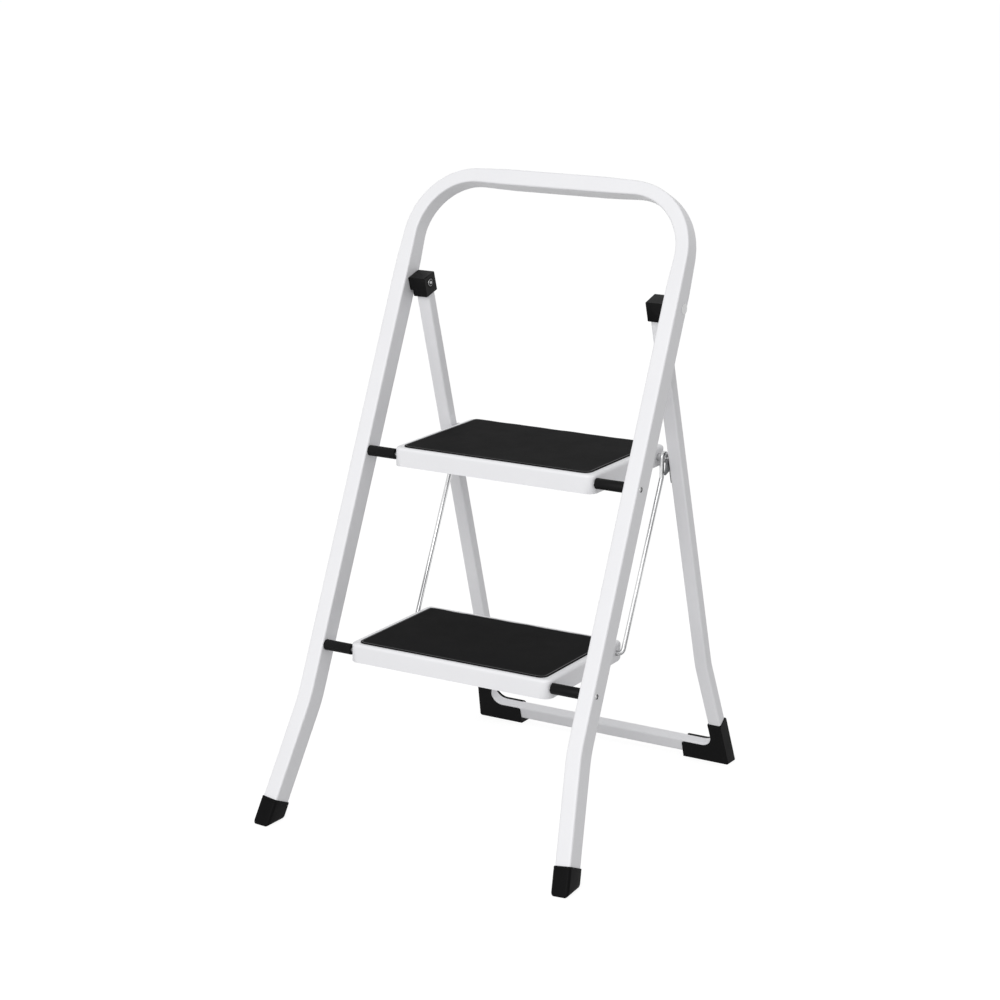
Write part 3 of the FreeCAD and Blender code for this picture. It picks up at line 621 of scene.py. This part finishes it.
def edged_copy(node, name, width, material):
    """A node's shape with its sharp edges rounded."""
    work = bmesh.new()
    work.from_mesh(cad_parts[node].data)
    bmesh.ops.remove_doubles(work, verts=work.verts, dist=0.000002)
    bmesh.ops.dissolve_limit(work, angle_limit=math.radians(0.6), verts=work.verts, edges=work.edges)
    mesh = bpy.data.meshes.new(name)
    work.to_mesh(mesh)
    work.free()
    mesh.materials.clear()
    mesh.materials.append(material)
    start = show(name + "_start", mesh)
    bevel = start.modifiers.new("edges", "BEVEL")
    bevel.width = width
    bevel.segments = 2
    bevel.limit_method = "ANGLE"
    bevel.angle_limit = math.radians(35)
    bevel.harden_normals = True
    graph = bpy.context.evaluated_depsgraph_get()
    made = bpy.data.meshes.new_from_object(start.evaluated_get(graph), depsgraph=graph)
    bpy.data.objects.remove(start)
    made.name = name
    return made


def dress(node, name, width, material, body):
    """Puts an edged copy in the place of a node."""
    piece = show(name, edged_copy(node, name, width, material))
    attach(piece, body)
    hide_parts(node)


for name in ("left", "right"):
    dress("pivot_block_" + name, "pivot_cap_" + name, moulded_edge, moulded_black, "rear_frame_body")


# Rear feet.
# L-shaped channels, moulded in black, that clip on the rear frame's bottom corners. They have the
# same rounded edges as the blocks.
for name in ("left", "right"):
    dress("rear_foot_" + name, "rear_foot_channel_" + name, moulded_edge, foot_black, "rear_frame_body")


# Hook plates.
# Stamped steel plates with an open seat for the upper step's pin, plated in dark zinc. They lie on the
# rear legs' inner sides.
stamped_edge = 0.00025
dark_zinc = finish("dark_zinc_plate", colours=((0.15, 0.155, 0.16), (0.24, 0.245, 0.25)),
                   roughness=(0.34, 0.5), grain_scale=500, grain_depth=0.000003, drift_scale=180,
                   metallic=1.0)
for name in ("left", "right"):
    dress("hook_plate_" + name, "hook_seat_" + name, stamped_edge, dark_zinc, "rear_frame_body")


# Hook plate rivets.
# Zinc plated blind rivets, two for each plate, that hold it to the leg. The head has the hole that the
# drawn stem leaves.
seat_height = 0.441
seat_rivet_drops = (0.0125, 0.027)
seat_rivet_setback = 0.0015
plate_thick = 0.0025
rear_inner_x = rear_leg_x - rear_tube["Width"] / 2
plate_face = rear_inner_x - plate_thick
blind_rivet = [(plate_face - 0.0004, 0.0008), (plate_face - 0.00095, 0.0011),
               (plate_face - 0.0010, 0.0016), (plate_face - 0.0008, 0.0026),
               (plate_face - 0.0004, 0.0033), (plate_face - 0.0001, 0.0036), (plate_face, 0.0036),
               (plate_face, 0.0020), (rear_inner_x + 0.0014, 0.0020)]
seat_rivet_places = []
for side in (-1, 1):
    for drop in seat_rivet_drops:
        height = seat_height - drop
        leg_y = rear_floor_y - height * math.tan(rear_lean)
        seat_rivet_places.append((Vector((0, leg_y + seat_rivet_setback, height)), side))
set_copies("seat_rivets", turned("blind_rivet_shape", blind_rivet, bright_zinc, steps=24),
           seat_rivet_places, bright_zinc, "rear_frame_body", ["hook_plate_rivets"])


# Step pans.
# Folded and drawn steel sheet with deep flanges, coated like the frames. The sheet's cut edges are
# slightly rounded by the coating.
coated_edge = 0.0003
for step in ("upper", "lower"):
    dress(step + "_step_pan", step + "_pan_sheet", coated_edge, white_paint, step + "_step_body")


# Anti-slip mats.
# Black moulded mats bonded on the pans. The edge is rounded, with a painted highlight as a grey line
# on top, and it waves a little along the rear.
mat_half_width = pan_side_x - 0.0095
mat_front_corner = 0.010
mat_rear_corner = 0.005
mat_least_corner = 0.0005
corner_steps = 8
rear_steps = 60
rear_wave = 0.0007
wave_pitch = (118, 31)
mat_black = finish("mat_black", colours=((0.0058, 0.0058, 0.0061), (0.0072, 0.0072, 0.0075)),
                   roughness=(0.66, 0.74), grain_scale=1100, grain_depth=0.00006, drift_scale=25,
                   specular=0.03)
# The grey of the highlight painted along the mat's rounded top edge.
painted_highlight_grey = (0.11, 0.11, 0.112)
tinted(mat_black, painted_highlight_grey, stored(mat_black, "painted_highlight_edge"))

# Height above the pan, inset from the outline, and the share of painted highlight.
mat_layers = [(0.0, 0.0, 0), (0.00005, -0.0001, 0), (0.0009, 0.0, 0), (0.0012, 0.0001, 0),
              (0.0014, 0.0004, 0), (0.0015, 0.0008, 0), (0.0015, 0.0013, 1), (0.0015, 0.0026, 1),
              (0.00138, 0.0031, 0), (0.00132, 0.0040, 0), (0.00132, 0.0075, 0)]


def quarter_round(x, y, radius, start):
    """Points round a quarter of a circle, from a starting angle in degrees."""
    angles = [math.radians(start + 90 * step / corner_steps) for step in range(corner_steps + 1)]
    return [(x + radius * math.cos(angle), y + radius * math.sin(angle)) for angle in angles]


def mat_outline(front, rear, inset):
    """The mat's outline, drawn in by an inset, with many points along its rear edge."""
    half = mat_half_width - inset
    low = front + inset
    high = rear - inset
    front_corner = max(mat_front_corner - inset, mat_least_corner)
    rear_corner = max(mat_rear_corner - inset, mat_least_corner)
    points = quarter_round(half - front_corner, low + front_corner, front_corner, 270)
    points += quarter_round(half - rear_corner, high - rear_corner, rear_corner, 0)
    for step in range(1, rear_steps):
        x = (half - rear_corner) * (1 - 2 * step / rear_steps)
        wave = rear_wave * math.sin(x * wave_pitch[0]) * math.cos(x * wave_pitch[1])
        points.append((x, high + wave))
    points += quarter_round(-half + rear_corner, high - rear_corner, rear_corner, 90)
    points += quarter_round(-half + front_corner, low + front_corner, front_corner, 180)
    return points


for step in ("upper", "lower"):
    low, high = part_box(step + "_step_mat")
    rings = []
    for height, inset, highlight_share in mat_layers:
        rings.append([(x, y, low[2] + height) for x, y in mat_outline(low[1], high[1], inset)])
    mat_mesh = lofted(step + "_mat", rings, mat_black)
    mark(mat_mesh, "painted_highlight_edge", [highlight_share for height, inset, highlight_share in mat_layers])
    piece = show(step + "_mat", mat_mesh)
    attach(piece, step + "_step_body")
    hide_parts(step + "_step_mat")


# Step pins.
# Stepped pins of zinc plated steel, riveted through the upper pan's sides. They rest in the hook
# plates and carry the link rods' hooks.
upper_link = Vector((0, 0.114941, seat_height))
pin_profile = [(0.1403, 0.0010), (0.1403, 0.0048), (0.1405, 0.0053), (0.1408, 0.0055), (0.1423, 0.0055),
               (0.1423, 0.0030), (0.1435, 0.0030), (0.1435, 0.0048), (0.1437, 0.0050), (0.1484, 0.0050),
               (0.1486, 0.0048), (0.1486, 0.0030), (0.1584, 0.0030), (0.1587, 0.0028), (0.15885, 0.0024)]
set_copies("step_pins", turned("step_pin_shape", pin_profile, bright_zinc), both_sides(upper_link),
           bright_zinc, "upper_step_body", ["step_pin_left", "step_pin_right"])


# Spring washers.
# Zinc plated rings pushed on the step pins, one on each, that keep the link rods' hooks in place.
washer_profile = [(0.1554, 0.0031), (0.1554, 0.0062), (0.1556, 0.0065), (0.1562, 0.0065),
                  (0.1564, 0.0062), (0.1564, 0.0040), (0.1562, 0.0031)]
set_copies("spring_washers", turned("washer_shape", washer_profile, bright_zinc, closed=True),
           both_sides(upper_link), bright_zinc, "upper_step_body", ["pin_washers"])


# Link rods.
# Zinc plated wires that hook over the upper step's pins, run down beside the steps and turn into the
# lower step's sides. Dark lines painted along them stand in for dark reflections.
lower_link = Vector((0, 0.011062, 0.212))
link_side_x = pan_side_x + 0.0085
wire_end_x = 0.1343
wire_radius = 0.003
wire_bend = 0.007
hook_radius = 0.0061
hook_front = upper_link.y - hook_radius
hook_rear = upper_link.y + hook_radius
hook_top = upper_link.z + hook_radius
hook_foot = upper_link.z - 0.024
hook_tip = upper_link.z - 0.007
drawn_zinc = finish("drawn_zinc_wire", colours=((0.66, 0.665, 0.67), (0.76, 0.76, 0.765)),
                    roughness=(0.28, 0.34), grain_scale=420, grain_depth=0.000001, drift_scale=30,
                    metallic=1.0)
# The dark grey painted along the wires as dark reflections.
painted_reflection_grey = (0.13, 0.13, 0.135)


def painted_reflection_lines(material, stretch=3.0):
    """The share of painted dark reflection lines on a wire, from where a point is around it and along
    it.
    """
    tree = material.node_tree
    link = tree.links.new
    turn = add_node(tree, "ShaderNodeMath", operation="MULTIPLY")
    turn.inputs[1].default_value = 2 * math.pi
    cosine = add_node(tree, "ShaderNodeMath", operation="COSINE")
    sine = add_node(tree, "ShaderNodeMath", operation="SINE")
    stretched = add_node(tree, "ShaderNodeMath", operation="MULTIPLY")
    stretched.inputs[1].default_value = stretch
    place = add_node(tree, "ShaderNodeCombineXYZ")
    lines = add_node(tree, "ShaderNodeTexNoise", Scale=1.7, Detail=2.0, Roughness=0.6)
    dark_reflection = add_node(tree, "ShaderNodeMapRange", interpolation_type="SMOOTHSTEP", From_Min=0.36,
                    From_Max=0.52, To_Min=1.0, To_Max=0.0)
    link(stored(material, "around"), turn.inputs[0])
    link(turn.outputs[0], cosine.inputs[0])
    link(turn.outputs[0], sine.inputs[0])
    link(stored(material, "run"), stretched.inputs[0])
    link(cosine.outputs[0], place.inputs["X"])
    link(sine.outputs[0], place.inputs["Y"])
    link(stretched.outputs[0], place.inputs["Z"])
    link(place.outputs["Vector"], lines.inputs["Vector"])
    link(lines.outputs["Fac"], dark_reflection.inputs["Value"])
    return dark_reflection.outputs["Result"]


# Painted reflection: the wire's colour is turned dark grey along the lines.
tinted(drawn_zinc, painted_reflection_grey, painted_reflection_lines(drawn_zinc))

# The hook's two bends meet at its top, and the round section's four corners at its sides, so both are
# made a hair under their full radius.
just_under = 0.999
wire_bends = [0, wire_bend, wire_bend, hook_radius * just_under, hook_radius * just_under, 0]
for side, name in sides:
    x = side * link_side_x
    corners = [(side * wire_end_x, lower_link.y, lower_link.z), (x, lower_link.y, lower_link.z),
               (x, hook_front, hook_foot), (x, hook_front, hook_top), (x, hook_rear, hook_top),
               (x, hook_rear, hook_tip)]
    wire_mesh = through_tree("link_wire_" + name, path_mesh("link_path", corners, wire_bends), bent_tube,
                             {"Width": 2 * wire_radius, "Depth": 2 * wire_radius,
                              "Corner": wire_radius * just_under, "Side Cuts": 0, "Bend Steps": 12,
                              "Ring Distance": 0.0008, "Depth Along Y": False, "Finish": drawn_zinc})
    outward(wire_mesh)
    piece = show("link_wire_" + name, wire_mesh)
    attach(piece, "link_" + name + "_body")
    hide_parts("link_rod_" + name)


# Link clips.
# Push-on rings of zinc plated spring steel. They keep the wires' lower ends inside the lower pan.
clip_profile = [(0.1407, 0.0031), (0.1407, 0.0047), (0.1409, 0.0050), (0.1417, 0.0050),
                (0.1419, 0.0047), (0.1419, 0.0038), (0.1414, 0.0031)]
for side, name in sides:
    set_copies("wire_clip_" + name, turned("clip_shape", clip_profile, bright_zinc, closed=True),
               [(lower_link, side)], bright_zinc, "link_" + name + "_body", ["link_clip_" + name])


# Floor.
# A plain white floor without an edge in view. It keeps the stool's shadow, and for the camera and in
# reflections it glows just enough to be white.
floor_reach = 30
floor_grey = 0.5
shadow_grey = 0.22
floor_glow = 0.89


def seen_rays(tree):
    """1 for camera, glossy and transmission rays."""
    path = tree.nodes.new("ShaderNodeLightPath")
    first = add_node(tree, "ShaderNodeMath", operation="MAXIMUM")
    second = add_node(tree, "ShaderNodeMath", operation="MAXIMUM")
    tree.links.new(path.outputs["Is Camera Ray"], first.inputs[0])
    tree.links.new(path.outputs["Is Glossy Ray"], first.inputs[1])
    tree.links.new(first.outputs[0], second.inputs[0])
    tree.links.new(path.outputs["Is Transmission Ray"], second.inputs[1])
    return second.outputs[0]


def floor_finish():
    """A grey floor for the light that it throws back, and a white one for what is seen."""
    material = bpy.data.materials.new("floor_white")
    material.use_nodes = True
    tree = material.node_tree
    tree.nodes.clear()
    link = tree.links.new
    output = tree.nodes.new("ShaderNodeOutputMaterial")
    plain = add_node(tree, "ShaderNodeBsdfDiffuse", Color=(floor_grey, floor_grey, floor_grey, 1))
    shaded = add_node(tree, "ShaderNodeBsdfDiffuse", Color=(shadow_grey, shadow_grey, shadow_grey, 1))
    glow = add_node(tree, "ShaderNodeEmission", Strength=floor_glow)
    lifted = tree.nodes.new("ShaderNodeAddShader")
    choice = tree.nodes.new("ShaderNodeMixShader")
    link(shaded.outputs[0], lifted.inputs[0])
    link(glow.outputs[0], lifted.inputs[1])
    link(seen_rays(tree), choice.inputs[0])
    link(plain.outputs[0], choice.inputs[1])
    link(lifted.outputs[0], choice.inputs[2])
    link(choice.outputs[0], output.inputs["Surface"])
    return material


floor_mesh = bpy.data.meshes.new("floor")
floor_mesh.from_pydata([(-floor_reach, -floor_reach, 0), (floor_reach, -floor_reach, 0),
                        (floor_reach, floor_reach, 0), (-floor_reach, floor_reach, 0)],
                       [], [(0, 1, 2, 3)])
floor_mesh.materials.append(floor_finish())
floor = show("floor", floor_mesh)


# Room and lamps.
# A white room lights the stool evenly and is seen as plain white. Two broad soft lamps stand in front
# of it, the key above and a weaker one low down.
room_light = 0.55
room_seen = 1.0
lamp_aim = Vector((0, 0, 0.4))
lamps = {"key": {"place": (0.73, -3.2, 2.6), "size": (2.4, 2.4), "power": 56},
         "low_front": {"place": (0.3, -3.7, 0.9), "size": (3.0, 1.6), "power": 26}}
world = bpy.data.worlds.new("studio")
world.use_nodes = True
world_tree = world.node_tree
world_tree.nodes.clear()
world_out = world_tree.nodes.new("ShaderNodeOutputWorld")
room = add_node(world_tree, "ShaderNodeBackground", Color=(1, 1, 1, 1), Strength=room_light)
backdrop = add_node(world_tree, "ShaderNodeBackground", Color=(1, 1, 1, 1), Strength=room_seen)
seen = world_tree.nodes.new("ShaderNodeMixShader")
world_tree.links.new(seen_rays(world_tree), seen.inputs[0])
world_tree.links.new(room.outputs[0], seen.inputs[1])
world_tree.links.new(backdrop.outputs[0], seen.inputs[2])
world_tree.links.new(seen.outputs[0], world_out.inputs["Surface"])
bpy.context.scene.world = world
for name, settings in lamps.items():
    lamp = bpy.data.lights.new(name, "AREA")
    lamp.shape = "RECTANGLE"
    lamp.size, lamp.size_y = settings["size"]
    lamp.energy = settings["power"]
    light = bpy.data.objects.new(name, lamp)
    light.location = settings["place"]
    light.rotation_euler = (lamp_aim - light.location).to_track_quat("-Z", "Y").to_euler()
    bpy.context.scene.collection.objects.link(light)


# Camera.
# It stands where the photograph was taken from, to the right of the stool and above the treads, and
# looks down at it. Its long lens keeps the legs nearly parallel.
camera_place = Vector((1.5540, -2.61707, 1.1963))
camera_aim = Vector((0.0427, -0.10367, 0.40925))
lens = bpy.data.cameras.new("camera")
lens.sensor_width = 36
lens.lens = 90.72
lens.shift_x = 0.0006
lens.shift_y = 0.0096
lens.clip_end = 100
camera = bpy.data.objects.new("camera", lens)
camera.location = camera_place
camera.rotation_euler = (camera_aim - camera_place).to_track_quat("-Z", "Y").to_euler()
bpy.context.scene.collection.objects.link(camera)
bpy.context.scene.camera = camera
bpy.context.scene.view_settings.view_transform = "Standard"
